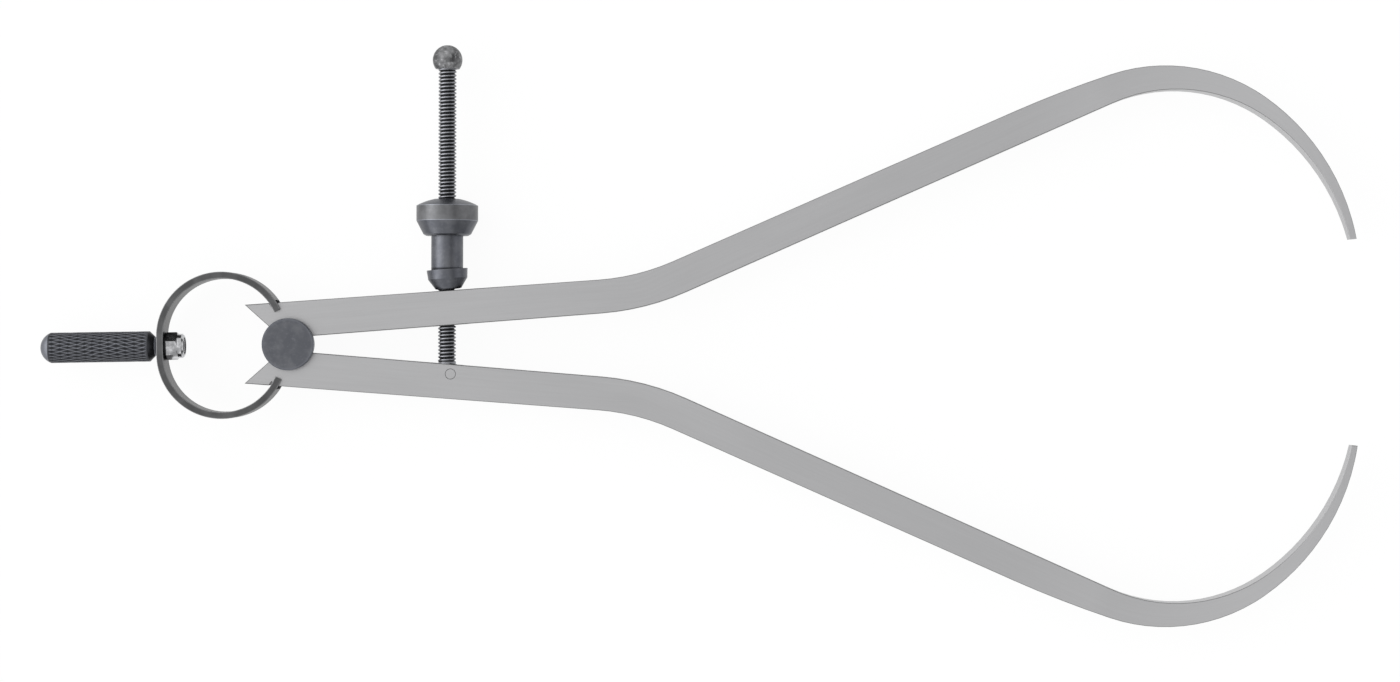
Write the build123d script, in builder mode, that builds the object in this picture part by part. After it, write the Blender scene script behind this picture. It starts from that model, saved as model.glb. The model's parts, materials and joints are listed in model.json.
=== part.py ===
from build123d import *

import os
from math import asin, atan2, cos, degrees, radians, sin, sqrt, tan

os.makedirs("parts", exist_ok=True)

# Outside spring caliper, 250 mm size. Millimetres and degrees.
# The origin is the fulcrum, in the middle of the legs' thickness. +X runs to the tips,
# +Y along the adjusting screw and +Z out of the legs' upper faces.
# Each leg is drawn closed, with its tip's face on the centre line, and then turned open.

# Opening
half_opening = 5.53
full_half_opening = 28.03
tip_gap = 0.06
tip_shift = 1.0

# Legs, ground from flat steel bar
leg_thickness = 5.6
leg_edge_break = 0.15
tail_length = 13.3
tail_angle = 132.7
hub_gap = 3.0
knee_distance = 80.1
knee_gap = 0.3
knee_width = 7.55
knee_radius = 50.8
arm_angle = 18.4
arm_length = 114.5
arm_width = 7.22
shoulder_length = 21.2
shoulder_radius = 250.0
shoulder_turn = 5.35
bow_radius = 35.4
bow_width = 3.7
outer_bow_turn = 53.7
inner_bow_turn = 59.4
tip_radius = 48.0
tip_taper = 3.4
tip_thickness = 2.8
taper_length = 42.0
taper_heading = -58.5

# Fulcrum roller, turned
waist_radius = 2.9
seat_clearance = 0.03
flange_clearance = 0.06
upper_flange_radius = 5.85
upper_flange_height = 1.7
lower_flange_radius = 5.0
lower_flange_height = 1.2
flange_bevel = 0.2

# Bow spring, bent from strip, with a forked end over each leg
bow_turn = 1.0
spring_back = 28.95
spring_flat = 1.9
spring_radius = 13.9
spring_thickness = 1.5
spring_width = 7.0
tine_length = 2.0
fork_clearance = 0.1
notch_depth = 0.6
notch_play = 0.35
notch_floor_gap = 0.25

# Finger stud, with a threaded end through the spring
stud_length = 26.6
stud_radius = 3.4
stud_dome_radius = 3.65
stud_face_radius = 0.8
stud_shoulder_radius = 2.4
spigot_radius = 1.5
spigot_clearance = 0.1
spigot_short = 0.3

# Washer and self-locking nut
washer_radius = 3.1
washer_thickness = 0.45
nut_across_flats = 5.5
nut_height = 2.5
nut_turn = -20.0
nut_corner_drop = 0.35
collar_radius = 2.75
collar_height = 1.27
collar_bevel = 0.4
collar_lip = 0.25
insert_radius = 2.2
insert_mouth_radius = 1.95
thread_clearance = 0.02

# Adjusting screw, its pivot and its end ball
screw_x = 35.4
pin_offset = 1.0
pivot_y = 6.6
screw_radius = 2.0
slot_clearance = 0.15
eye_radius = 2.4
eye_thickness = 3.8
pin_radius = 1.2
pin_clearance = 0.05
pin_seat_clearance = 0.01
pin_bevel = 0.1
pocket_floor_gap = 0.3
ball_radius = 3.35
ball_face_radius = 0.8
ball_centre_y = 64.3
ball_underside_y = 62.3
ball_spigot_radius = 1.5
ball_spigot_length = 3.8
ball_spigot_clearance = 0.01

# Cup washer and adjusting nut
cup_gap = 0.1
cup_foot_radius = 2.92
cup_crown_radius = 12.0
cup_bore_radius = 2.45
cup_cone_height = 2.6
cup_cone_radius = 4.42
cup_rim_height = 4.7
cup_rim_radius = 4.62
socket_clearance = 0.15
socket_drop = 0.1
socket_slope = 30.0
neck_radius = 3.6
neck_length = 7.7
nut_bore_clearance = 0.05
head_foot_radius = 5.2
head_foot_bevel = 0.4
head_cone_height = 3.4
head_radius = 6.95
head_band_height = 3.4
head_dome_height = 1.5
head_top_radius = 2.9


def opened(x, y):
    """Where a point of the closed upper leg lies at rest."""
    return Vector(x, y).rotate(Axis.Z, half_opening)


def upward(angle):
    """Unit vector at an angle from +X, in the legs' plane."""
    return Vector(cos(radians(angle)), sin(radians(angle)))


def height_at(x, start, end):
    """Height of the line through two points, at a place along X."""
    return start.Y + (end.Y - start.Y) * (x - start.X) / (end.X - start.X)


# Corners of the closed upper leg

half_thickness = leg_thickness / 2
knee_mitre = knee_width / 2 * tan(radians(arm_angle / 2))
knee_inner = Vector(knee_distance + knee_mitre, knee_gap / 2)
knee_outer = Vector(knee_distance - knee_mitre, knee_gap / 2 + knee_width)
knee_middle = Vector(knee_distance, (knee_gap + knee_width) / 2)
arm_across = upward(arm_angle + 90) * (arm_width / 2)
arm_inner_end = knee_middle + upward(arm_angle) * arm_length - arm_across
arm_outer_end = knee_middle + upward(arm_angle) * (arm_length - shoulder_length) + arm_across
tip_line = Axis((0, tip_gap / 2 - tip_shift, 0), (1, 0, 0))
taper_drop = (leg_thickness - tip_thickness) / 2
taper_radius = (taper_length**2 + taper_drop**2) / (2 * taper_drop)
taper_turn = degrees(asin(taper_length / taper_radius))

# Edges of the upper leg at rest, beside the fulcrum

tail_tip = upward(tail_angle) * tail_length
edge_from = opened(tail_tip.X, tail_tip.Y)
edge_to = opened(knee_outer.X, knee_outer.Y)
edge_slope = degrees(atan2(edge_to.Y - edge_from.Y, edge_to.X - edge_from.X))
edge_normal = upward(edge_slope + 90)
inner_from = opened(0, hub_gap / 2)
inner_to = opened(knee_inner.X, knee_inner.Y)

# Path of the spring: it crosses the leg's edge at the entry angle

spring_centre = Vector(-spring_back + spring_radius, spring_flat)
centre_to_edge = edge_normal.dot(edge_to - spring_centre)
entry_angle = edge_slope + degrees(asin(centre_to_edge / spring_radius))
entry_point = spring_centre + upward(entry_angle) * spring_radius
spring_turn = 180 - entry_angle + degrees(tine_length / spring_radius)
fork_depth = tine_length - notch_depth + notch_floor_gap
fork_height = leg_thickness + 2 * fork_clearance

# Room for the screw, which leans against each leg as the caliper opens

pin_centre = Vector(screw_x + pin_offset, -pivot_y)
slot_centre = Vector(screw_x, pivot_y)
full_opening = 2 * (full_half_opening - half_opening)
inner_edge_y = height_at(screw_x, inner_from, inner_to)
outer_edge_y = height_at(screw_x, edge_from, edge_to)
leaning_radius = screw_radius / cos(radians(full_opening / 2 + edge_slope)) + slot_clearance


def screw_place(opening, y):
    """Where the screw crosses a height, along the upper leg, once it has opened further."""
    foot = pin_centre.rotate(Axis.Z, -opening) + Vector(-pin_offset, 0).rotate(Axis.Z, -opening / 2)
    crossing = Vector(foot.X + (y - foot.Y) * tan(radians(opening / 2)), y)
    return (crossing - slot_centre).dot(upward(edge_slope))


slot_back = leaning_radius - screw_place(full_opening, inner_edge_y)
slot_front = leaning_radius + screw_place(full_opening, outer_edge_y)
slot_height = 2 * (screw_radius + slot_clearance)
pocket_reach = pivot_y - height_at(screw_x - 2 * screw_radius, inner_from, inner_to)
pocket_back = pin_offset + pocket_reach * tan(radians(full_opening / 2 + edge_slope)) + leaning_radius
pocket_front = eye_radius + 2 * slot_clearance
pocket_depth = eye_radius + pocket_floor_gap

leg_plane = Plane.XY.rotated((0, 0, half_opening))
bow_plane = Plane.XY.rotated((0, 0, bow_turn))


# Blank of the upper leg, which both legs are made from

with BuildPart() as leg_blank:
    with BuildSketch(leg_plane) as leg_outline:
        with BuildLine():
            tail = PolarLine((0, 0), tail_length, tail_angle)
            Line(tail @ 1, knee_outer)
            outer_arm = Line(knee_outer, arm_outer_end)
            shoulder = JernArc(outer_arm @ 1, outer_arm % 1, shoulder_radius, -shoulder_turn)
            outer_bow = JernArc(shoulder @ 1, shoulder % 1, bow_radius + bow_width, -outer_bow_turn)
            outer_tip = JernArc(outer_bow @ 1, outer_bow % 1, tip_radius + tip_taper, tip_line)
            Polyline((0, 0), (0, hub_gap / 2), knee_inner)
            inner_arm = Line(knee_inner, arm_inner_end)
            inner_bow = JernArc(inner_arm @ 1, inner_arm % 1, bow_radius, -inner_bow_turn)
            inner_tip = JernArc(inner_bow @ 1, inner_bow % 1, tip_radius, tip_line)
            Line(outer_tip @ 1, inner_tip @ 1)
        make_face()
        fillet(leg_outline.vertices().sort_by_distance(knee_outer)[0], knee_radius)
        fillet(leg_outline.vertices().sort_by_distance(knee_inner)[0], knee_radius + knee_width)
    extrude(amount=half_thickness, both=True)

    # both faces are ground thinner towards the tip
    tip_middle = ((outer_tip @ 1) + (inner_tip @ 1)) * 0.5
    along = upward(taper_heading + half_opening)
    taper_plane = Plane(
        origin=opened(tip_middle.X, tip_middle.Y), x_dir=along, z_dir=along.cross(Vector(0, 0, 1))
    )
    with BuildSketch(taper_plane):
        with BuildLine():
            ramp = JernArc((-taper_length, half_thickness), (1, 0), taper_radius, -1.2 * taper_turn)
            Polyline(ramp @ 1, ((ramp @ 1).X, half_thickness), (-taper_length, half_thickness))
        make_face()
        mirror(about=Plane.XZ)
    extrude(amount=taper_length, both=True, mode=Mode.SUBTRACT)

    walls = leg_blank.faces().filter_by(lambda face: abs(face.normal_at().Z) < 0.01)
    rims = walls.edges().filter_by(lambda edge: abs(edge.center().Z) > tip_thickness / 4)
    chamfer(rims, leg_edge_break)

    # hollow seat against the roller's waist
    with BuildSketch(Plane.XY):
        Circle(waist_radius + seat_clearance)
    extrude(amount=half_thickness, both=True, mode=Mode.SUBTRACT)

    # notch for the spring's end
    with BuildSketch(Plane(origin=entry_point, x_dir=upward(entry_angle))):
        Rectangle(spring_thickness + 2 * notch_play, 2 * notch_depth)
    extrude(amount=half_thickness, both=True, mode=Mode.SUBTRACT)


# Upper leg, with a slot that the screw passes through

slot_plane = Plane(origin=slot_centre, x_dir=upward(edge_slope), z_dir=edge_normal)

with BuildPart() as upper_leg:
    add(leg_blank.part)
    with BuildSketch(slot_plane):
        with Locations(((slot_front - slot_back) / 2, 0)):
            SlotOverall(slot_front + slot_back, slot_height)
    extrude(amount=2 * knee_width, both=True, mode=Mode.SUBTRACT)

    # the tips meet a little above the centre line
    with BuildSketch(leg_plane):
        with Locations((tip_middle.X, tip_gap / 2 + tip_shift)):
            Rectangle(bow_radius, 4 * tip_shift, align=(Align.CENTER, Align.MAX))
    extrude(amount=half_thickness, both=True, mode=Mode.SUBTRACT)
upper_leg.part.label = "upper_leg"
export_step(upper_leg.part, "parts/upper_leg.step")


# Lower leg, with a blind pocket for the screw's end and a hole for its pin

pocket_plane = Plane(origin=pin_centre, x_dir=upward(-edge_slope), z_dir=upward(90 - edge_slope))

with BuildPart() as lower_leg:
    mirror(leg_blank.part, about=Plane.XZ)
    with BuildSketch(pocket_plane.offset(-pocket_depth)):
        with Locations(((pocket_front - pocket_back) / 2, 0)):
            Rectangle(pocket_front + pocket_back, slot_height)
    extrude(amount=2 * knee_width, mode=Mode.SUBTRACT)
    with BuildSketch(Plane.XY):
        with Locations(pin_centre):
            Circle(pin_radius + pin_seat_clearance)
    extrude(amount=half_thickness, both=True, mode=Mode.SUBTRACT)
lower_leg.part.label = "lower_leg"
export_step(lower_leg.part, "parts/lower_leg.step")


# Pin across the lower leg, ending flush with both faces and bevelled above

with BuildPart() as screw_pivot_pin:
    with BuildSketch(Plane.XY):
        with Locations(pin_centre):
            Circle(pin_radius)
    extrude(amount=half_thickness, both=True)
    chamfer(screw_pivot_pin.edges().group_by(Axis.Z)[-1], pin_bevel)
screw_pivot_pin.part.label = "screw_pivot_pin"
export_step(screw_pivot_pin.part, "parts/screw_pivot_pin.step")


# Fulcrum roller: a waist that the legs seat on, between two flanges

groove = half_thickness + flange_clearance
upper_face = groove + upper_flange_height
lower_face = -groove - lower_flange_height

with BuildPart() as fulcrum_roller:
    with BuildSketch(Plane.XZ) as roller_profile:
        with BuildLine():
            Polyline(
                (0, lower_face),
                (lower_flange_radius, lower_face),
                (lower_flange_radius, -groove),
                (waist_radius, -groove),
                (waist_radius, groove),
                (upper_flange_radius, groove),
                (upper_flange_radius, upper_face),
                (0, upper_face),
                close=True,
            )
        make_face()
        for corner in [(upper_flange_radius, upper_face), (lower_flange_radius, lower_face)]:
            chamfer(roller_profile.vertices().sort_by_distance(corner)[0], flange_bevel)
    revolve(axis=Axis.Z)
fulcrum_roller.part.label = "fulcrum_roller"
export_step(fulcrum_roller.part, "parts/fulcrum_roller.step")


# Bow spring: half of the strip is swept, forked over the leg and mirrored

with BuildPart() as bow_spring:
    with BuildLine(bow_plane) as spring_path:
        flat = Line((-spring_back, 0), (-spring_back, spring_flat))
        JernArc(flat @ 1, flat % 1, spring_radius, -spring_turn)
    with BuildSketch(Plane(origin=spring_path.line @ 0, x_dir=(0, 0, 1), z_dir=spring_path.line % 0)):
        Rectangle(spring_width, spring_thickness)
    sweep(path=spring_path.line)
    with BuildSketch(Plane(origin=spring_path.line @ 1, x_dir=(0, 0, 1), z_dir=spring_path.line % 1)):
        Rectangle(fork_height, 2 * spring_thickness)
    extrude(amount=-fork_depth, mode=Mode.SUBTRACT)
    mirror(about=Plane(origin=(0, 0, 0), x_dir=bow_plane.x_dir, z_dir=bow_plane.y_dir))
    with BuildSketch(Plane(origin=spring_path.line @ 0, z_dir=bow_plane.x_dir)):
        Circle(spigot_radius + spigot_clearance)
    extrude(amount=spring_thickness, both=True, mode=Mode.SUBTRACT)
bow_spring.part.label = "bow_spring"
export_step(bow_spring.part, "parts/bow_spring.step")


# Pieces on the stud's axis, from the spring's back inwards

stud_axis = Axis((0, 0, 0), bow_plane.x_dir)
back_outside = -spring_back - spring_thickness / 2
back_inside = -spring_back + spring_thickness / 2
hollow_radius = spring_radius - spring_thickness / 2
washer_stand_off = hollow_radius - sqrt(hollow_radius**2 - (washer_radius - spring_flat) ** 2)
washer_foot = back_inside + washer_stand_off + thread_clearance
washer_face = washer_foot + washer_thickness
collar_foot = washer_face + nut_height
collar_end = collar_foot + collar_height
stud_end = back_outside - stud_length
stud_dome = sqrt(stud_dome_radius**2 - stud_face_radius**2) - sqrt(stud_dome_radius**2 - stud_radius**2)
shoulder_bevel = stud_radius - stud_shoulder_radius

with BuildPart() as finger_stud:
    with BuildSketch(bow_plane):
        with BuildLine():
            spigot = Polyline(
                (stud_end, stud_face_radius),
                (stud_end, 0),
                (collar_end - spigot_short, 0),
                (collar_end - spigot_short, spigot_radius),
                (back_outside, spigot_radius),
                (back_outside, stud_shoulder_radius),
                (back_outside - shoulder_bevel, stud_radius),
                (stud_end + stud_dome, stud_radius),
            )
            RadiusArc(spigot @ 1, spigot @ 0, -stud_dome_radius)
        make_face()
    revolve(axis=stud_axis)
finger_stud.part.label = "finger_stud"
export_step(finger_stud.part, "parts/finger_stud.step")

with BuildPart() as stud_washer:
    with BuildSketch(bow_plane):
        with Locations((washer_foot, spigot_radius + spigot_clearance)):
            Rectangle(
                washer_thickness,
                washer_radius - spigot_radius - spigot_clearance,
                align=(Align.MIN, Align.MIN),
            )
    revolve(axis=stud_axis)
stud_washer.part.label = "stud_washer"
export_step(stud_washer.part, "parts/stud_washer.step")

nut_corner_radius = nut_across_flats / sqrt(3)
insert_foot = collar_foot
insert_end = collar_end - collar_lip

with BuildPart() as stud_lock_nut:
    with BuildSketch(Plane(origin=bow_plane.x_dir * washer_face, x_dir=(0, 0, 1), z_dir=bow_plane.x_dir)):
        RegularPolygon(nut_across_flats / 2, 6, major_radius=False, rotation=nut_turn)
    extrude(amount=nut_height)
    with BuildSketch(bow_plane) as nut_envelope:
        with BuildLine():
            Polyline(
                (washer_face, 0),
                (washer_face, nut_corner_radius),
                (collar_foot - nut_corner_drop, nut_corner_radius),
                (collar_foot, nut_across_flats / 2),
                (collar_foot, 0),
                close=True,
            )
        make_face()
    revolve(axis=stud_axis, mode=Mode.INTERSECT)
    with BuildSketch(bow_plane) as collar_section:
        with Locations((collar_foot, 0)):
            Rectangle(collar_height, collar_radius, align=(Align.MIN, Align.MIN))
        chamfer(collar_section.vertices().sort_by_distance((collar_end, collar_radius))[0], collar_bevel)
    revolve(axis=stud_axis)
    with BuildSketch(bow_plane):
        with BuildLine():
            Polyline(
                (washer_face, 0),
                (washer_face, spigot_radius + thread_clearance),
                (insert_foot, spigot_radius + thread_clearance),
                (insert_foot, insert_radius + thread_clearance),
                (insert_end, insert_radius + thread_clearance),
                (collar_end, insert_mouth_radius),
                (collar_end, 0),
                close=True,
            )
        make_face()
    revolve(axis=stud_axis, mode=Mode.SUBTRACT)
stud_lock_nut.part.label = "stud_lock_nut"
export_step(stud_lock_nut.part, "parts/stud_lock_nut.step")

with BuildPart() as lock_nut_insert:
    with BuildSketch(bow_plane):
        with Locations((insert_foot, spigot_radius + thread_clearance)):
            Rectangle(
                insert_end - insert_foot,
                insert_radius - spigot_radius - thread_clearance,
                align=(Align.MIN, Align.MIN),
            )
    revolve(axis=stud_axis)
lock_nut_insert.part.label = "lock_nut_insert"
export_step(lock_nut_insert.part, "parts/lock_nut_insert.step")


# Adjusting screw, at its thread's outer size, with a flat eye for the pin and a spigot for the ball

screw_plane = Plane(origin=(screw_x, 0, 0))
screw_axis = Axis((screw_x, 0, 0), (0, 1, 0))
spigot_end_y = ball_underside_y + ball_spigot_length

with BuildPart() as adjusting_screw:
    with BuildSketch(screw_plane):
        with BuildLine():
            Polyline(
                (0, -pivot_y),
                (screw_radius, -pivot_y),
                (screw_radius, ball_underside_y),
                (ball_spigot_radius, ball_underside_y),
                (ball_spigot_radius, spigot_end_y),
                (0, spigot_end_y),
                close=True,
            )
        make_face()
    revolve(axis=screw_axis)
    with BuildSketch(Plane.XY):
        with Locations(pin_centre):
            Circle(eye_radius)
    extrude(amount=eye_thickness / 2, both=True)
    with BuildSketch(Plane.XY):
        with Locations(pin_centre):
            Circle(pin_radius + pin_clearance)
    extrude(amount=screw_radius, both=True, mode=Mode.SUBTRACT)
adjusting_screw.part.label = "adjusting_screw"
export_step(adjusting_screw.part, "parts/adjusting_screw.step")

ball_foot_radius = sqrt(ball_radius**2 - (ball_centre_y - ball_underside_y) ** 2)
ball_top_y = ball_centre_y + sqrt(ball_radius**2 - ball_face_radius**2)

with BuildPart() as screw_end_ball:
    with BuildSketch(screw_plane):
        with BuildLine():
            ThreePointArc(
                (ball_foot_radius, ball_underside_y),
                (ball_radius, ball_centre_y),
                (ball_face_radius, ball_top_y),
            )
            Polyline(
                (ball_face_radius, ball_top_y),
                (0, ball_top_y),
                (0, spigot_end_y + ball_spigot_clearance),
                (ball_spigot_radius + ball_spigot_clearance, spigot_end_y + ball_spigot_clearance),
                (ball_spigot_radius + ball_spigot_clearance, ball_underside_y),
                (ball_foot_radius, ball_underside_y),
            )
        make_face()
    revolve(axis=screw_axis)
screw_end_ball.part.label = "screw_end_ball"
export_step(screw_end_ball.part, "parts/screw_end_ball.step")


# Cup washer, flush with the leg's slanting edge, with a coned socket for the end of the nut's neck

socket_height = cup_rim_height - socket_drop
socket_x = screw_x + (socket_height + cup_gap) * sin(radians(edge_slope))
socket_foot = Vector(socket_x, height_at(socket_x, edge_from, edge_to))
socket_centre = socket_foot + edge_normal * (socket_height + cup_gap)
cup_plane = Plane(
    origin=socket_centre - edge_normal * socket_height, x_dir=upward(edge_slope), z_dir=(0, 0, 1)
)
socket_radius = neck_radius + socket_clearance
socket_side = upward(socket_slope)
socket_floor = socket_height - (socket_radius - cup_bore_radius * socket_side.X) / socket_side.Y
socket_mouth = (socket_radius + socket_drop * socket_side.Y) / socket_side.X


def crown(radius):
    """Height of the cup's crowned foot at a radius."""
    return cup_crown_radius - sqrt(cup_crown_radius**2 - radius**2)


with BuildPart() as nut_cup_washer:
    with BuildSketch(cup_plane):
        with BuildLine():
            Polyline(
                (cup_foot_radius, crown(cup_foot_radius)),
                (cup_cone_radius, cup_cone_height),
                (cup_rim_radius, cup_rim_height),
                (socket_mouth, cup_rim_height),
                (cup_bore_radius, socket_floor),
                (cup_bore_radius, crown(cup_bore_radius)),
                close=True,
            )
        make_face()
    revolve(axis=Axis(cup_plane.origin, cup_plane.y_dir))
nut_cup_washer.part.label = "nut_cup_washer"
export_step(nut_cup_washer.part, "parts/nut_cup_washer.step")


# Adjusting nut, turned: neck, coned head with a plain band and a low dome

nose_y = socket_centre.Y
nut_bore_radius = screw_radius + nut_bore_clearance
nose_foot_y = nose_y - neck_radius * tan(radians(socket_slope / 2))
head_foot_y = nose_y + neck_length
band_foot_y = head_foot_y + head_cone_height
band_top_y = band_foot_y + head_band_height
head_top_y = band_top_y + head_dome_height
dome_depth = (head_radius**2 - head_top_radius**2 - head_dome_height**2) / (2 * head_dome_height)
dome_radius = sqrt(head_radius**2 + dome_depth**2)

with BuildPart() as adjusting_nut:
    with BuildSketch(screw_plane) as nut_profile:
        with BuildLine():
            head_side = Polyline(
                (nut_bore_radius, nose_foot_y),
                (neck_radius, nose_foot_y),
                (neck_radius, head_foot_y),
                (head_foot_radius, head_foot_y),
                (head_radius, band_foot_y),
                (head_radius, band_top_y),
            )
            RadiusArc(head_side @ 1, (head_top_radius, head_top_y), -dome_radius)
            Polyline(
                (head_top_radius, head_top_y),
                (nut_bore_radius, head_top_y),
                head_side @ 0,
            )
        make_face()
        chamfer(
            nut_profile.vertices().sort_by_distance((head_foot_radius, head_foot_y))[0],
            head_foot_bevel,
        )
    revolve(axis=screw_axis)
adjusting_nut.part.label = "adjusting_nut"
export_step(adjusting_nut.part, "parts/adjusting_nut.step")
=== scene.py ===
# %% [markdown]
# # An outside spring caliper, seen from above
#
# Two bowed steel legs seat on a small roller and are pressed together by a round spring. A
# screw with a turned nut sets how far they open, and a knurled stud behind the spring is held
# between the fingers. Most of the shapes are finished in the CAD model. This lesson loads them
# and makes the three pieces that need more: the knurled stud and the screw's thread, whose
# surface is too fine for CAD, and the spring, whose ends have to clear the legs when they move.
# Then it gives every piece its finish.

import json

import bpy
import numpy as np
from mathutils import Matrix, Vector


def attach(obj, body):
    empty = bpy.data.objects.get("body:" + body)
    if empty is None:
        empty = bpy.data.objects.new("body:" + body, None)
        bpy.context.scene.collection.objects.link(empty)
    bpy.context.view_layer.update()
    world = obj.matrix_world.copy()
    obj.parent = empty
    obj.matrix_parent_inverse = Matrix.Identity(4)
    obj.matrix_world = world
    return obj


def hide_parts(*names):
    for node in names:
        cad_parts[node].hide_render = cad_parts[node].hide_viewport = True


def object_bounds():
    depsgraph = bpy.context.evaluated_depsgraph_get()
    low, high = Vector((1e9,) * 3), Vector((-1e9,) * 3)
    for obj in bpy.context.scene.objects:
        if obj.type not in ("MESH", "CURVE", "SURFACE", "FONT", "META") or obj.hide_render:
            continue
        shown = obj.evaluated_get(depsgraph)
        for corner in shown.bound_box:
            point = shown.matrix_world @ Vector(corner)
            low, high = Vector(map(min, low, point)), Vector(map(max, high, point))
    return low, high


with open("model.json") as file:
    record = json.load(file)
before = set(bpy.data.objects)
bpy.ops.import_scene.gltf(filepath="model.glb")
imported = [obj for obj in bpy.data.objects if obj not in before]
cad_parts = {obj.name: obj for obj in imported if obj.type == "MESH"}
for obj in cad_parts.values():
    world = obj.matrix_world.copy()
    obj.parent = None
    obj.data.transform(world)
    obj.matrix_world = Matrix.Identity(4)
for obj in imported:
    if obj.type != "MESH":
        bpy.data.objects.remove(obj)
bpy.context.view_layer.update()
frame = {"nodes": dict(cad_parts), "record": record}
nodes = frame["nodes"]
MM = 0.001


# %% [markdown]
# ## A surface from two parameters
#
# A turned piece can be made with a Screw modifier, by spinning vertices, or by working out
# every point at once. Here the points are worked out, because the knurl and the thread are
# small changes of radius over the whole surface, which are easy to write as a formula. Points
# come as an array of rows, where each row goes once round the piece. Two small helpers turn
# such an array into faces and put them into the scene.


# %% From points to a piece
def grid_faces(rows, around, closed=False):
    """The corner numbers of every cell between two rows, where point j of row i has the number
    i * around + j. Each row is closed on itself. With closed, the last row also joins the first."""
    i, j = np.meshgrid(np.arange(rows if closed else rows - 1), np.arange(around), indexing="ij")
    n, k = (i + 1) % rows, (j + 1) % around
    corners = [i * around + j, i * around + k, n * around + k, n * around + j]
    return np.stack(corners, -1).reshape(-1, 4).tolist()


def add_piece(name, points, faces):
    """Puts points and faces into a mesh, and the mesh into the scene."""
    mesh = bpy.data.meshes.new(name)
    mesh.from_pydata(points, [], faces)
    mesh.update()
    piece = bpy.data.objects.new(name, mesh)
    bpy.context.scene.collection.objects.link(piece)
    print(name, "has", len(mesh.polygons), "faces")
    return piece


# %% [markdown]
# The first and the last row of a solid piece are closed by a fan of triangles round a middle
# point. A height can be kept with the mesh, so that a finish may later paint highlights on what
# stands out and shade in the hollows.


# %% Rings closed at both ends
def closed_rings(name, rings, raised=None):
    """A closed mesh from points[i, j], where row i is a ring round the piece and j goes round
    it. raised[i, j] is kept with the mesh as an attribute."""
    rows, around = rings.shape[:2]
    points = np.concatenate([rings.reshape(-1, 3), [rings[0].mean(0), rings[-1].mean(0)]])
    first_middle, last_middle, last_row = rows * around, rows * around + 1, (rows - 1) * around
    j = np.arange(around)
    k = (j + 1) % around
    first = np.stack([np.full(around, first_middle), k, j], -1)
    last = np.stack([np.full(around, last_middle), last_row + j, last_row + k], -1)
    piece = add_piece(name, points, grid_faces(rows, around) + first.tolist() + last.tolist())
    mesh = piece.data
    mesh.polygons.foreach_set("use_smooth", np.ones(len(mesh.polygons), bool))
    if raised is not None:
        heights = mesh.attributes.new("raised", "FLOAT", "POINT")
        heights.data.foreach_set("value", np.append(raised.ravel(), (0, 0)).astype(np.float32))
    mesh.update()
    return piece


# %% Rings about an axis
def full_turn(steps):
    """Angles that go once round, without the last, which is the first again."""
    return np.linspace(0, 2 * np.pi, steps, endpoint=False)


def turned(origin, axis, along, radius, around):
    """Rings about an axis: point = origin + axis * along + radius * (u cos v + w sin v), where
    u, w and the axis are at right angles and v runs once round in the right-hand sense. along
    and radius have a row for each ring. Sizes are in mm and the points in metres."""
    axis = np.array(axis) / np.linalg.norm(axis)
    u = np.cross(axis, (0.0, 0.0, 1.0)) if abs(axis[2]) < 0.9 else np.array((1.0, 0.0, 0.0))
    w = np.cross(axis, u)
    v = full_turn(around)
    ring = np.cos(v)[:, None] * u + np.sin(v)[:, None] * w
    return (np.array(origin) + along[..., None] * axis + radius[..., None] * ring) * MM


# %% [markdown]
# ## Knurled finger stud
#
# The stud is rolled between two wheels that press long pointed dents into it and leave a net
# of thin ridges, which get painted highlights. A bump map would do from far away, but the outline
# would stay smooth, so the dents are real: they are cut into the radius. Behind the knurl come a
# bevel and a short neck that rests on the spring, and a thin stem goes through it. The stud and
# the spring are turned together, by one degree from the middle line between the legs.

# %% Stud: sizes
STUD_TURN = np.radians(1.0)
STUD_AXIS = np.array((np.cos(STUD_TURN), np.sin(STUD_TURN), 0))
STUD_END, STUD_BACK = -56.3, -29.7
STUD_RADIUS, STUD_DOME, STUD_FACE = 3.43, 3.65, 0.8
BEVEL_START, BEVEL_END = STUD_BACK - 2.0, STUD_BACK - 0.8
NECK_RADIUS, STEM_RADIUS, STEM_LENGTH = 2.13, 1.5, 5.5
KNURL_START, KNURL_STOP = STUD_END + 2.0, BEVEL_START - 0.1
KNURL_PITCH, KNURL_COUNT, KNURL_DEPTH = 3.67, 24, 0.14
print("stud in mm:", round(STUD_BACK - STUD_END, 2), "long,", 2 * STUD_RADIUS, "across")


# %% Stud: profile
def stud_profile(steps):
    """Distance along the axis and radius of the plain stud: a small flat, a dome that is part
    of a sphere, a cylinder, a bevel, a neck and the stem. Each corner is given by two points
    close together, which softens it a little."""
    t = np.linspace(np.arcsin(STUD_FACE / STUD_DOME), np.arcsin(STUD_RADIUS / STUD_DOME), 20)
    dome = np.stack([STUD_END + STUD_DOME * (np.cos(t[0]) - np.cos(t)), STUD_DOME * np.sin(t)], -1)
    side = np.linspace(dome[-1, 0], BEVEL_START - 0.05, steps)[1:]
    side = np.stack([side, np.full_like(side, STUD_RADIUS)], -1)
    back = [
        (BEVEL_START, STUD_RADIUS - 0.02),
        (BEVEL_START + 0.04, STUD_RADIUS - 0.05),
        (BEVEL_END - 0.04, NECK_RADIUS + 0.13),
        (BEVEL_END, NECK_RADIUS + 0.09),
        (BEVEL_END + 0.02, NECK_RADIUS + 0.02),
        (BEVEL_END + 0.04, NECK_RADIUS),
        (STUD_BACK - 0.03, NECK_RADIUS),
        (STUD_BACK, NECK_RADIUS - 0.03),
        (STUD_BACK, STEM_RADIUS + 0.02),
        (STUD_BACK + 0.02, STEM_RADIUS),
        (STUD_BACK + STEM_LENGTH - 0.02, STEM_RADIUS),
        (STUD_BACK + STEM_LENGTH, STEM_RADIUS - 0.02),
    ]
    return np.concatenate([dome, side, back])


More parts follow.
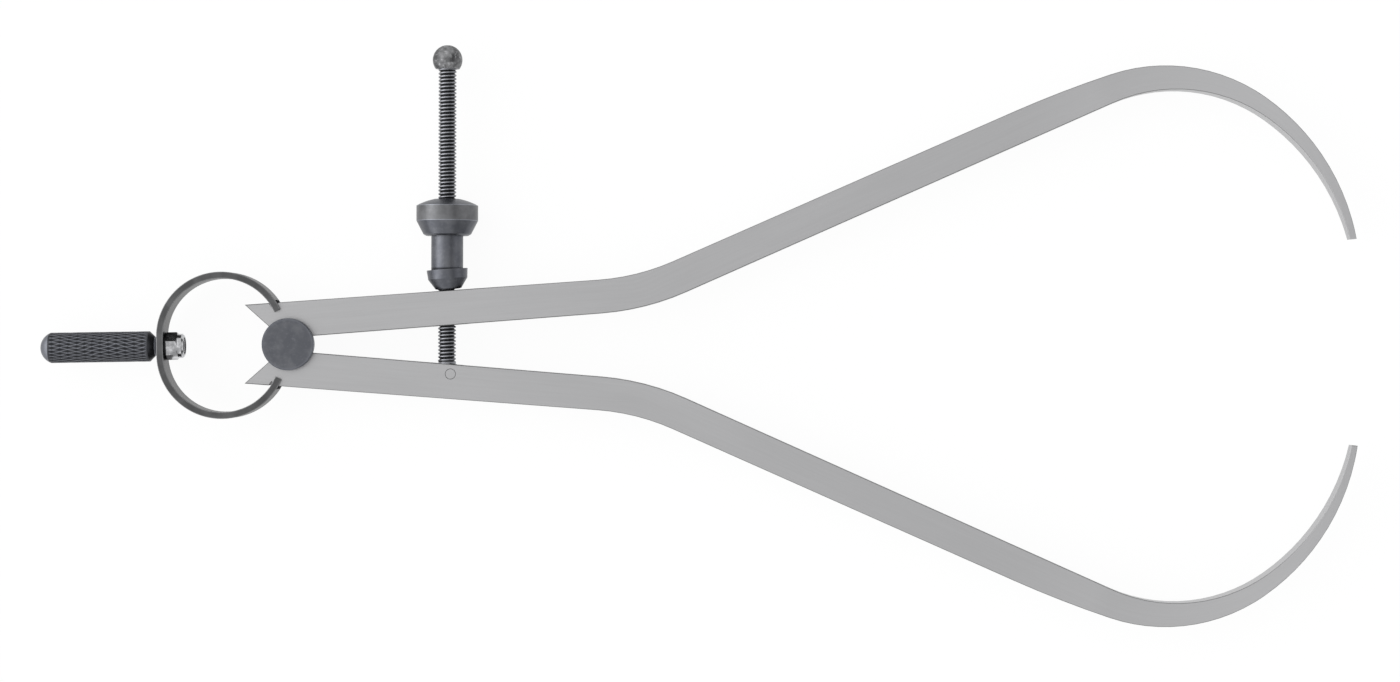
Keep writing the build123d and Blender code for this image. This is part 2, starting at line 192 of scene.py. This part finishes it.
# %% Stud: knurl
def wave(phase):
    """A triangle wave of the phase in turns: 0 at whole turns and 1 half way between them."""
    return 2 * np.abs(phase - np.round(phase))


def knurl_height(along, v):
    """Height of a net of ridges, 0 in the middle of a dent and 1 on a ridge. It is 1 less the
    lower of two triangle waves that slant each way, raised to a power that thins the ridges.
    KNURL_COUNT ridges go round the stud and one crosses every KNURL_PITCH along it. A slow
    sway keeps the rows from being machine-perfect."""
    sway = 0.2 * np.sin(along / 2.3) + 0.15 * np.sin(2 * v + along / 3.1)
    sway = sway + 0.12 * np.sin(3 * v - along)
    round_it, along_it = KNURL_COUNT * v / (2 * np.pi), along / KNURL_PITCH
    right = wave(round_it + along_it + sway)
    left = wave(round_it - along_it + 0.7 * sway)
    return (1 - np.minimum(right, left)) ** 1.8


# %% Stud: mesh
def fade(distance, length):
    """0 where the distance is below 0, 1 where it is past length, and a straight line between."""
    return np.clip(distance / length, 0, 1)


# Heights for the plain parts in the painted light: the dome and the neck get part of the ridges'
# painted highlight, and the bevel a middle grey.
DOME_PAINTED_LIGHT, NECK_PAINTED_LIGHT, BEVEL_PAINTED_LIGHT = 0.85, 0.9, 0.5
profile = stud_profile(240)
along, plain_radius = profile[:, :1], profile[:, 1:]
v = full_turn(288)
height = knurl_height(along, v)
knurled = fade(along - KNURL_START, 0.5) * fade(KNURL_STOP - along, 0.3)
radius = plain_radius - KNURL_DEPTH * knurled * (1 - height)
regions = [along < KNURL_START, along > BEVEL_END - 0.01]
painted_light_height = np.select(regions, [DOME_PAINTED_LIGHT, NECK_PAINTED_LIGHT], BEVEL_PAINTED_LIGHT)
painted_light_height = painted_light_height + (height - painted_light_height) * knurled
stud = closed_rings("knurled_stud", turned((0, 0, 0), STUD_AXIS, along, radius, len(v)), painted_light_height)
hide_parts("finger_stud")
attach(stud, "bow")

# %% [markdown]
# ## Thread of the adjusting screw
#
# The screw has a fine right-hand thread, 0.8 mm from one turn to the next. A helix can be
# made with the Screw modifier on a zigzag line. Worked out on a grid it is simpler: the radius
# drops into a groove wherever the distance along the screw, less the share of a turn, is half
# way between two whole turns. The wave is stretched and cut off, which leaves a flat crest and
# a narrow flat root. The thread runs out shortly before both ends of the screw.

# %% Screw: thread
SCREW_X, SCREW_FOOT, SCREW_END = 35.4, -4.9, 62.3
PITCH, CREST, GROOVE = 0.8, 2.03, 0.42
ROWS_PER_TURN = 12

rows = int((SCREW_END - SCREW_FOOT) / PITCH * ROWS_PER_TURN)
along = np.linspace(SCREW_FOOT, SCREW_END, rows)[:, None]
v = full_turn(48)
groove = np.clip(1.7 * wave(along / PITCH - v / (2 * np.pi)) - 0.5, 0, 1)
depth = groove * fade(along - SCREW_FOOT - 0.7, 0.8) * fade(SCREW_END - 0.1 - along, 0.4)
rings = turned((SCREW_X, 0, 0), (0, 1, 0), along, CREST - GROOVE * depth, len(v))
screw = closed_rings("screw_thread", rings, 1 - depth)

# %% [markdown]
# The screw's other end is a flat eye inside the lower leg, which turns on the cross pin, and a
# thin spigot goes into the ball. Both are plain rings about their axes, so the same helpers
# make them. The eye has a hole, so its section is a closed line, whose last row joins the first.


# %% Screw: eye
def ring_section(name, centre, axis, section, around):
    """A ring with a hole: a small closed section of (along, radius) points, turned about an
    axis."""
    along, radius = np.array(section).T[..., None]
    rings = turned(centre, axis, along, radius, around)
    return add_piece(name, rings.reshape(-1, 3), grid_faces(len(section), around, closed=True))


PIVOT = (36.4, -6.6, 0)
EYE_HALF, EYE_BORE, EYE_RADIUS, CHAMFER = 1.9, 1.25, 2.4, 0.1
upper = [(EYE_HALF - CHAMFER, EYE_RADIUS), (EYE_HALF, EYE_RADIUS - CHAMFER), (EYE_HALF, EYE_BORE)]
lower = [(-along, radius) for along, radius in reversed(upper)]
eye = ring_section("screw_eye", PIVOT, (0, 0, 1), lower + upper, 64)

# %% Screw: spigot
SPIGOT_END, SPIGOT_RADIUS = 66.1, 1.48
along = np.array((SCREW_END - 0.1, SPIGOT_END - 0.05, SPIGOT_END))[:, None]
radius = np.array((SPIGOT_RADIUS, SPIGOT_RADIUS, SPIGOT_RADIUS - 0.04))[:, None]
rings = turned((SCREW_X, 0, 0), (0, 1, 0), along, radius, 48)
spigot = closed_rings("screw_spigot", rings)
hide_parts("adjusting_screw")
for piece in (screw, eye, spigot):
    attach(piece, "screw")

# %% [markdown]
# ## Bow spring
#
# The spring is a flat strip bent round, with forked ends whose tines hold the legs. The real
# one bends as the legs open, and a rigid one would press into their edges. Here the forks are
# deeper, so that only the tines slide over the legs, and every edge is rounded, as on rolled
# strip. A curve with a bevel object would do. A section carried along a line keeps the strip
# and its tines in one formula. The tines lie a hundredth of a millimetre inside the strip's
# faces, because two faces in the same place leave black spots in a render.

# %% Bow spring: sizes
SPRING_MIDDLE, SPRING_FLAT, SPRING_RADIUS = -15.05, 1.9, 13.9
STRIP, HALF_HEIGHT, EDGE = 1.5, 3.5, 0.12
TINE_STRIP, TINE_INNER, TINE_OUTER = STRIP - 0.02, 2.9, 3.49
WEB_END, TINE_START, TINE_END = np.radians((144.5, 142.0, 155.87))
SLANT_START, SLANT_WIDTH = np.radians((141.0, 3.0))
SLANT = np.tan(np.radians(28.0))
CLOSE = 0.004
print("strip laid flat in mm:", round(2 * (TINE_END * SPRING_RADIUS + SPRING_FLAT), 1))


# %% Bow spring: section
def rounded_section(width, height):
    """Points round a rectangle whose corners are quarter circles of the radius EDGE. Each corner
    also has a point on the flats beside it, which keeps them flat when smoothed."""
    t = np.linspace(0, np.pi / 2, 5)
    corner = EDGE * np.stack([np.cos(t), np.sin(t)], -1)
    corner = np.concatenate([[(EDGE, -EDGE / 2)], corner, [(-EDGE / 2, EDGE)]])
    inset = (width / 2 - EDGE, height / 2 - EDGE)
    centre = np.array([(1, 1), (-1, 1), (-1, -1), (1, -1)]) * inset
    cos, sin = np.array([1, 0, -1, 0])[:, None], np.array([0, 1, 0, -1])[:, None]
    across = corner[:, 0] * cos - corner[:, 1] * sin + centre[:, :1]
    upward = corner[:, 0] * sin + corner[:, 1] * cos + centre[:, 1:]
    return across.ravel(), upward.ravel()


# %% Bow spring: section along the line
def bent_strip(name, turn, side, wide, low, high, slant=0.0):
    """A strip along the spring: point = line + out * across + up * upward, for each point of
    the section. The line is at SPRING_RADIUS along out, which has turned by turn from the
    middle of the back, and side says to which half, each moved by half of the flat. With a
    slant, the outer points turn a little further towards the ends, which are cut along the leg."""
    across, upward = rounded_section(wide, high - low)
    turn, side = turn[:, None], np.reshape(side, (-1, 1))
    turn = turn + slant * fade(turn - SLANT_START, SLANT_WIDTH) * across / SPRING_RADIUS
    from_middle = SPRING_RADIUS + across
    along = SPRING_MIDDLE - from_middle * np.cos(turn)
    aside = side * (SPRING_FLAT + from_middle * np.sin(turn))
    x = along * STUD_AXIS[0] - aside * STUD_AXIS[1]
    y = along * STUD_AXIS[1] + aside * STUD_AXIS[0]
    z = np.broadcast_to(upward + (low + high) / 2, x.shape)
    return closed_rings(name, np.stack([x, y, z], -1) * MM)


def end_to_end(start, end, steps):
    """Angles from start to end, with one more CLOSE to each end, so that the ends stay crisp."""
    inner = np.linspace(start, end, steps)
    near = np.sign(end - start) * CLOSE
    return np.concatenate([[start, start + near], inner[1:-1], [end - near, end]])


# %% Bow spring: strip and four tines
half = end_to_end(WEB_END, 0, 60)
turn, side = np.concatenate([half, half[::-1]]), np.repeat((-1.0, 1.0), len(half))
strip = bent_strip("bent_spring", turn, side, STRIP, -HALF_HEIGHT, HALF_HEIGHT, SLANT)
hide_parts("bow_spring")
spring_pieces = [strip]
tine_faces = ((TINE_INNER, TINE_OUTER, "over"), (-TINE_OUTER, -TINE_INNER, "under"))
for side, half_name in ((-1, "near"), (1, "far")):
    turn = end_to_end(TINE_START, TINE_END, 10)[::side]
    for low, high, face in tine_faces:
        tine = bent_strip(f"tine_{half_name}_{face}", turn, side, TINE_STRIP, low, high)
        spring_pieces.append(tine)
for piece in spring_pieces:
    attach(piece, "bow")

# %% [markdown]
# ## Writing shader maths as sums
#
# A finish is a tree of nodes, which is long to write by hand. Two small classes shorten it. A
# Link wraps one output, and adds a Math node for each +, -, *, ** or abs that it meets. A
# Finish holds one tree and makes any other node with one method.


# %% Link
class Link:
    """One output of a node. Sums with it add Math nodes to its tree."""

    def __init__(self, finish, socket):
        self.finish, self.socket = finish, socket

    def __add__(self, other):
        return self.finish.math("ADD", self, other)

    def __sub__(self, other):
        return self.finish.math("SUBTRACT", self, other)

    def __rsub__(self, other):
        return self.finish.math("SUBTRACT", other, self)

    def __mul__(self, other):
        return self.finish.math("MULTIPLY", self, other)

    def __pow__(self, other):
        return self.finish.math("POWER", self, other)

    def __abs__(self):
        return self.finish.math("ABSOLUTE", self)

    __radd__, __rmul__ = __add__, __mul__

    def rise(self, low, high):
        """0 below low, 1 above high and a smooth step between."""
        settings = {"interpolation_type": "SMOOTHSTEP"}
        return self.finish.node("ShaderNodeMapRange", settings, {0: self, 1: low, 2: high})


# %% Finish
def grey(value, blue=0.0):
    """A grey, with as much more blue as the second number says."""
    return (value * (1 - 0.3 * blue), value, value * (1 + blue), 1)


finish_of = {}


class Finish:
    """A material, or a world, whose nodes are made one by one. It is kept under its name."""

    def __init__(self, name, kind="materials"):
        self.name, self.owner = name, getattr(bpy.data, kind).new(name)
        self.owner.use_nodes = True
        self.tree = self.owner.node_tree
        self.tree.nodes.clear()
        finish_of[name] = self.owner

    def node(self, kind, settings=None, inputs=None, output=0):
        """Makes a node, sets its settings, such as an operation or a ramp's stops, and then
        gives its sockets their values or links."""
        made = self.tree.nodes.new(kind)
        for key, value in (settings or {}).items():
            if key == "stops":
                ramp = made.color_ramp.elements
                for count, (position, level) in enumerate(value):
                    stop = ramp[count] if count < 2 else ramp.new(position)
                    stop.position, stop.color = position, grey(level)
            else:
                setattr(made, key, value)
        for key, value in (inputs or {}).items():
            if isinstance(value, Link):
                self.tree.links.new(value.socket, made.inputs[key])
            else:
                made.inputs[key].default_value = value
        return Link(self, made.outputs[output]) if made.outputs else None

    def math(self, operation, *values):
        """One Math node on numbers or links."""
        return self.node("ShaderNodeMath", {"operation": operation}, dict(enumerate(values)))

    def vector(self, x, y, z):
        """A vector from three numbers or links."""
        return self.node("ShaderNodeCombineXYZ", inputs={0: x, 1: y, 2: z})

    def parts(self, vector):
        """The x, y and z of a vector."""
        split = self.node("ShaderNodeSeparateXYZ", inputs={0: vector})
        return [Link(self, part) for part in split.socket.node.outputs]

    def place(self):
        """The point on the object in metres."""
        return self.node("ShaderNodeTexCoord", output="Object")

    def noise(self, vector, scale, detail=3.0, roughness=0.55):
        """A cloudy pattern between 0 and 1, with scale clouds to a unit of the vector."""
        inputs = {"Vector": vector, "Scale": scale, "Detail": detail, "Roughness": roughness}
        return self.node("ShaderNodeTexNoise", inputs=inputs)

    def mix(self, share, one, other):
        """A colour between two colours."""
        inputs = {0: share, 6: one, 7: other}
        return self.node("ShaderNodeMix", {"data_type": "RGBA"}, inputs, output=2)

    def surface(self, colour, roughness, height, depth, metallic=1.0):
        """The last nodes: that colour and roughness, with a bump of that depth from a height."""
        bump = {"Height": height, "Distance": depth, "Strength": 1.0}
        inputs = {"Base Color": colour, "Roughness": roughness, "Metallic": metallic}
        inputs["Normal"] = self.node("ShaderNodeBump", inputs=bump)
        self.end(self.node("ShaderNodeBsdfPrincipled", inputs=inputs))

    def end(self, surface, kind="ShaderNodeOutputMaterial"):
        """Leads the surface to the output, and says how many nodes it took."""
        self.node(kind, inputs={"Surface": surface})
        print(self.name, "has", len(self.tree.nodes), "nodes")


# %% [markdown]
# ## Ground steel of the legs
#
# Both legs are ground along their length and then polished, which leaves fine straight lines.
# A noise stretched along one axis would run the wrong way in the bows, so the noise follows
# the leg. Near the fulcrum the lines run along the leg's root, then along the arm, and in the
# bow they go round the bow's centre, and the leg's own sizes say where these stretches meet.
# The lower leg is a mirror image, so the distance from the middle line is taken without its
# sign. The sign then moves the noise, so that the two legs don't match line for line.

# %% Ground steel: the line of a leg
HALF_OPENING, ARM_TURN = np.radians((5.53, 18.4))
KNEE = np.array((80.1, 3.925)) * MM
ARM_LENGTH, ARM_HALF_WIDTH, BOW_RADIUS = 114.5 * MM, 3.61 * MM, 35.4 * MM
ARM = np.array((np.cos(ARM_TURN), np.sin(ARM_TURN)))
ACROSS = np.array((-ARM[1], ARM[0]))
BOW_CENTRE = KNEE + ARM * ARM_LENGTH - ACROSS * (ARM_HALF_WIDTH + BOW_RADIUS)
print("centre of the closed leg's bow in mm:", (BOW_CENTRE / MM).round(1))


# %% Ground steel: distances that follow the leg
def along_the_leg(steel):
    """Distance across and along the leg, for a point on either leg, with its height and the
    sign of its half. The point is first turned back by half of the opening, so that the leg's
    root runs along x. In the root both are distances from the knee, in the arm they are the
    distances across and along its line, and in the bow they are the distance from the bow's
    circle and the length of the arc."""
    x, y, z = steel.parts(steel.place())
    up = abs(y)
    cos, sin = np.cos(HALF_OPENING), np.sin(HALF_OPENING)
    closed_x, closed_y = x * cos + up * sin, up * cos - x * sin
    root_along, root_across = closed_x - KNEE[0], closed_y - KNEE[1]
    arm_along = root_along * ARM[0] + root_across * ARM[1]
    arm_across = root_across * ARM[0] - root_along * ARM[1]
    bow_x, bow_y = closed_x - BOW_CENTRE[0], closed_y - BOW_CENTRE[1]
    bow_across = (bow_x * bow_x + bow_y * bow_y) ** 0.5 - (BOW_RADIUS + ARM_HALF_WIDTH)
    bow_along = steel.math("ARCTAN2", bow_x, bow_y) * BOW_RADIUS + ARM_LENGTH
    in_arm, in_bow = arm_along.rise(-6 * MM, 6 * MM), arm_along.rise(110 * MM, 116 * MM)
    across = root_across + (arm_across - root_across) * in_arm
    across = across + (bow_across - across) * in_bow
    along = root_along + (arm_along - root_along) * in_arm
    along = along + (bow_along - along) * in_bow
    return across, along, z, steel.math("SIGN", y)


# %% [markdown]
# The fine lines change quickly across the leg and slowly along it, and broad patches lie over
# them. From the arm to the bow the grey is painted a little brighter, a painted reflection for
# the brighter light that the bows catch. The broken edges are painted darker than the faces, a
# painted shade over their bright reflection. They are the only parts whose surface points
# neither up nor sideways, so the shader knows them by that.

# %% Ground steel: finish
steel = Finish("ground_steel")
across, along, z, side = along_the_leg(steel)
lines = steel.noise(steel.vector(across * 3000 + side * 40, along * 60, z * 3000), 1.0, 4.0)
patches = steel.noise(steel.vector(across * 120, along * 25 + side * 7, z * 120), 1.0, 2.0)
outward = steel.node("ShaderNodeTexCoord", output="Normal")
upward = abs(steel.parts(outward)[2])
painted_edge_shade = upward.rise(0.2, 0.45) - upward.rise(0.85, 0.97)
# The lift from 85 to 145 mm along the leg is a painted reflection on the bows.
shade = 0.358 + lines * 0.05 + patches * 0.04 + along.rise(85 * MM, 145 * MM) * 0.07
# The broken edges are painted darker: painted shade over their reflection.
shade = shade * (1.0 - painted_edge_shade * 0.45)
colour = steel.node("ShaderNodeCombineColor", inputs={0: shade, 1: shade, 2: shade * 1.015})
steel.surface(colour, 0.30 + patches * 0.10 + lines * 0.08, lines, 0.006 * MM)

# %% [markdown]
# ## Turned dark steel
#
# The nut, its cup, the roller and the ball are turned on a lathe and darkened. The tool leaves
# fine rings round the axis. An image of rings would need a map for each piece, so the rings
# are a noise that changes quickly along the axis and hardly round it. Clouds of a darker and a
# lighter grey and a few bright specks lie over them. The same steel also serves the stud, its
# nut and the screw.


# %% Turned steel
class TurnedSteel(Finish):
    """Dark steel whose rings follow each other along y or, when faced, outwards from the
    fulcrum. level is its grey and blue its tint. uneven gives the shares of that grey in the
    dark and in the light clouds, and how strong the bright specks are."""

    def __init__(self, name, level, blue, rings=2500.0, uneven=(0.85, 1.12, 0.12), faced=False):
        super().__init__(name)
        self.level, self.blue = level, blue
        point = self.place()
        self.x, self.y, self.z = self.parts(point)
        self.step = (self.x * self.x + self.y * self.y) ** 0.5 if faced else self.y
        self.marks = self.noise(self.vector(self.step * rings, self.z * 30, self.x * 30), 1.0)
        self.stain = self.noise(point, 350.0, 3.0, 0.6)
        specks = self.noise(point, 1400.0, 2.0, 0.7).rise(0.55, 0.75)
        dark, light, strength = uneven
        clouds = self.stain.rise(0.35, 0.7)
        self.colour = self.mix(clouds, self.shade(dark), self.shade(light, 0.7))
        self.cover(specks * strength, self.shade(2.0))

    def shade(self, share, tint=1.0):
        """A share of the finish's own grey, and of its tint."""
        return grey(self.level * share, self.blue * tint)

    def cover(self, mask, colour):
        """Lays a colour over the finish where the mask is 1."""
        self.colour = self.mix(mask, self.colour, colour)

    def done(self, rough=0.3, spread=0.12):
        """Ends the finish: duller where it is stained, with the rings as its bump."""
        roughness = rough + self.stain * spread + self.marks * 0.06
        self.surface(self.colour, roughness, self.marks, 0.006 * MM)


# %% [markdown]
# The roller is faced flat, with a painted highlight on its rim. The ball is worn in patches.
# The washer is blackened, and the lock nut is plated with zinc, which is pale and smooth.

# %% Turned steel: roller, ball, washer and lock nut
roller = TurnedSteel("roller_steel", 0.118, 0.13, faced=True)
# The paler rim is a painted highlight.
roller.cover(roller.step.rise(5.1 * MM, 6.0 * MM), roller.shade(1.35))
roller.done(0.34)
TurnedSteel("ball_steel", 0.21, 0.03, rings=900.0, uneven=(0.4, 1.45, 0.8)).done(spread=0.25)
TurnedSteel("black_steel", 0.02, 0.05).done(0.4)
TurnedSteel("zinc_plate", 0.52, 0.03, uneven=(0.5, 1.35, 0.5)).done(0.1)

# %% [markdown]
# The stud's ridges and the thread's crests get painted highlights, and the grooves get painted
# shade. The height that was kept with each mesh says where.


# %% Turned steel: stud and screw
def paint_light_by_height(steel, groove, crest):
    """Painted shade in the grooves and painted highlights on the crests. groove and crest each
    give the two heights that the change lies between, and the share of the finish's grey."""
    raised = steel.node("ShaderNodeAttribute", {"attribute_name": "raised"}, output=2)
    # Painted shade in the grooves, then painted highlights on the crests.
    steel.colour = steel.mix(raised.rise(*groove[:2]), steel.shade(groove[2]), steel.colour)
    steel.cover(raised.rise(*crest[:2]), steel.shade(crest[2]))


ridges = TurnedSteel("stud_steel", 0.054, 0.12, rings=300.0)
paint_light_by_height(ridges, (0.02, 0.45, 0.4), (0.66, 1.0, 4.6))
ridges.done(0.34)
thread = TurnedSteel("screw_steel", 0.115, 0.07, rings=300.0, uneven=(0.6, 1.3, 0.5))
paint_light_by_height(thread, (0.0, 0.5, 0.35), (0.6, 1.0, 2.4))
thread.done(0.24, 0.2)

# %% [markdown]
# The nut's head is rubbed by the fingers that turn it. That leaves a paler band between its two
# edges, and the edges get painted highlights. Its neck goes into the cup, where a dark line of
# painted shade marks the gap.


# %% Turned steel: nut and cup
def band_with_edge_highlights(steel, start, end, wide=0.12 * MM):
    """A paler ring round the piece from start to end, with a painted highlight at each edge."""
    band = steel.step.rise(start - wide, start) - steel.step.rise(end, end + wide)
    pale = steel.mix(steel.stain.rise(0.3, 0.7), steel.shade(0.95, 0.3), steel.shade(1.35, 0.3))
    steel.cover(band, pale)
    for place in (start, end):
        edge_highlight = steel.step.rise(place - wide, place) - steel.step.rise(place, place + wide)
        # The bright lines at the band's edges are painted highlights.
        steel.cover(edge_highlight * (0.3 + steel.stain), steel.shade(2.6))


def gap_shade_line(steel, radius, end):
    """Painted shade on what lies within that radius of the screw's middle, in a ring about a
    millimetre wide that stops at end."""
    beside = steel.x - SCREW_X * MM
    neck = 1 - ((beside * beside + steel.z * steel.z) ** 0.5).rise(radius, radius + 0.3 * MM)
    line = steel.y.rise(end - 1.0 * MM, end - 0.5 * MM) - steel.y.rise(end, end + 0.5 * MM)
    # The dark ring is painted shade at the gap where the neck goes into the cup.
    steel.cover(neck * line * 0.9, steel.shade(0.15))


nut = TurnedSteel("nut_steel", 0.125, 0.14)
band_with_edge_highlights(nut, 27.99 * MM, 31.39 * MM)
gap_shade_line(nut, 3.7 * MM, 17.1 * MM)
nut.done()

# %% [markdown]
# ## Spring steel
#
# The spring is bent from strip. Its top edges get a painted highlight, a paler grey, so the
# colour needs the distance from the middle of the strip. A map of edges could be painted, but the
# strip's line is known: it is two arcs with a short flat between them, and the distance from it
# is that from a circle once the flat is cut out.

# %% Spring steel
spring = Finish("spring_steel")
point = spring.place()
x, y, z = spring.parts(point)
cos, sin = np.cos(STUD_TURN), np.sin(STUD_TURN)
across, behind = y * cos - x * sin, x * cos + y * sin - SPRING_MIDDLE * MM
beside = spring.math("MAXIMUM", abs(across), SPRING_FLAT * MM) - SPRING_FLAT * MM
radius = (behind * behind + beside * beside) ** 0.5
side_highlight = abs(radius - SPRING_RADIUS * MM).rise((STRIP / 2 - 0.25) * MM, (STRIP / 2 - 0.03) * MM)
top_highlight = abs(z).rise((HALF_HEIGHT - 0.2) * MM, (HALF_HEIGHT - 0.05) * MM)
grain = spring.noise(spring.vector(radius * 3000, across * 60, z * 400), 1.0)
blotch = spring.noise(point, 260.0)
colour = spring.mix(blotch.rise(0.35, 0.7), grey(0.078, 0.02), grey(0.112, 0.02))
# The paler grey along the top edges is a painted highlight.
colour = spring.mix(side_highlight * top_highlight * (0.3 + blotch * 0.7), colour, grey(0.30, 0.02))
spring.surface(colour, 0.32 + blotch * 0.12 + grain * 0.05, grain, 0.005 * MM)

# %% [markdown]
# ## Nylon ring
#
# The ring in the lock nut is moulded nylon, so it is no metal: a smooth pale plastic with the
# faint unevenness that moulding leaves. One noise is enough for its colour, gloss and bump.

# %% Nylon
nylon = Finish("insert_plastic")
cloud = nylon.noise(nylon.place(), 900.0)
colour = nylon.mix(cloud, grey(0.60, 0.02), grey(0.72, 0.02))
nylon.surface(colour, 0.35 + cloud * 0.2, cloud, 0.03 * MM, metallic=0.0)

# %% [markdown]
# ## Giving each piece its finish
#
# The record names a material slot for every CAD node, and the finishes above are kept under the
# same names, so only the pieces that were made here need a table.

# %% Assign
slot_of = {row["node"]: row["material_slot"] for row in frame["record"]["subparts"]}
for name, node in nodes.items():
    node.data.materials.clear()
    node.data.materials.append(finish_of[slot_of[name]])
made_here = {"stud_steel": [stud], "screw_steel": [screw, eye, spigot]}
made_here["spring_steel"] = spring_pieces
for slot, pieces in made_here.items():
    for piece in pieces:
        piece.data.materials.append(finish_of[slot])
print("finishes:", sorted(set(slot_of.values())))

# %% [markdown]
# ## Floor, light and camera
#
# The caliper lies on a white table. A bright lamp could wash the table out, but it would wash
# the steel out too. So what the camera and the reflections see of the table is nearly all plain
# white, and a small share is the lit table, which keeps a faint shadow.

# %% Floor
half = 3.0
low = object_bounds()[0]
corners = [(-half, -half, low.z), (half, -half, low.z), (half, half, low.z), (-half, half, low.z)]
table = add_piece("table", corners, [(0, 1, 2, 3)])
white = Finish("table_white")
lit = white.node("ShaderNodeBsdfDiffuse", inputs={"Color": grey(0.82)})
plain = white.node("ShaderNodeEmission", inputs={"Color": grey(1.0), "Strength": 1.01})
seen, mirrored, through = [
    white.node("ShaderNodeLightPath", output=f"Is {kind} Ray")
    for kind in ("Camera", "Glossy", "Transmission")
]
share = (seen + mirrored + through) * 0.93
white.end(white.node("ShaderNodeMixShader", inputs={0: share, 1: lit, 2: plain}))
table.data.materials.append(white.owner)

# %% [markdown]
# The light comes from soft boxes on both sides and overhead. Area lamps would do, but then
# their edges show in every turned piece. A world whose brightness only changes from left to
# right gives the same long soft reflections. The stops say how bright it is from the far left,
# at 0, over the middle, at 0.5, to the far right, at 1. One broad lamp adds a direction.

# %% Light
sky = Finish("studio", "worlds")
bpy.context.scene.world = sky.owner
from_left = sky.parts(sky.node("ShaderNodeTexCoord"))[0] * 0.5 + 0.5
boxes = [(0.0, 0.5), (0.04, 1.0), (0.12, 0.95), (0.2, 0.62), (0.3, 0.44), (0.5, 0.39)]
boxes += [(0.59, 0.5), (0.64, 0.46), (0.7, 0.17), (0.8, 0.16), (0.9, 0.375), (1.0, 0.46)]
level = sky.node("ShaderNodeValToRGB", {"stops": boxes}, {0: from_left}) * 2.4
seen = sky.node("ShaderNodeLightPath", output="Is Camera Ray")
strength = level + (1 - level) * seen
background = sky.node("ShaderNodeBackground", inputs={"Color": grey(1.0), "Strength": strength})
sky.end(background, "ShaderNodeOutputWorld")

sun = bpy.data.lights.new("key", "SUN")
sun.energy, sun.angle = 0.5, np.radians(60)
lamp = bpy.data.objects.new("key", sun)
bpy.context.scene.collection.objects.link(lamp)
lamp.rotation_euler = (np.radians(-15), np.radians(-50), 0)
print("lamp of strength", sun.energy)

# %% [markdown]
# The photograph was taken from straight above, and one of its pixels is 0.225 mm at the legs'
# upper faces, from 660 mm away. That gives the lens: its focal length is to the sensor's width
# as the distance is to the width of the view. VIEW_X and VIEW_Y are where the photograph's
# middle lies from the fulcrum, and ROLL is how far it was turned.

# %% Camera
PIXEL, PHOTO_WIDTH, DISTANCE, LEG_FACE, SENSOR = 0.225, 1400, 660.0, 2.8, 36
VIEW_X, VIEW_Y, ROLL = 92.563, 0.945, 0.13
camera = bpy.data.cameras.new("camera")
camera.sensor_width = SENSOR
camera.lens = SENSOR * DISTANCE / (PHOTO_WIDTH * PIXEL)
camera.clip_start, camera.clip_end = 0.01, 10
viewer = bpy.data.objects.new("camera", camera)
bpy.context.scene.collection.objects.link(viewer)
viewer.location = (VIEW_X * MM, VIEW_Y * MM, (LEG_FACE + DISTANCE) * MM)
viewer.rotation_euler = (0, 0, np.radians(ROLL))
bpy.context.scene.camera = viewer
bpy.context.scene.view_settings.view_transform = "Standard"
print("lens in mm:", round(camera.lens, 2))
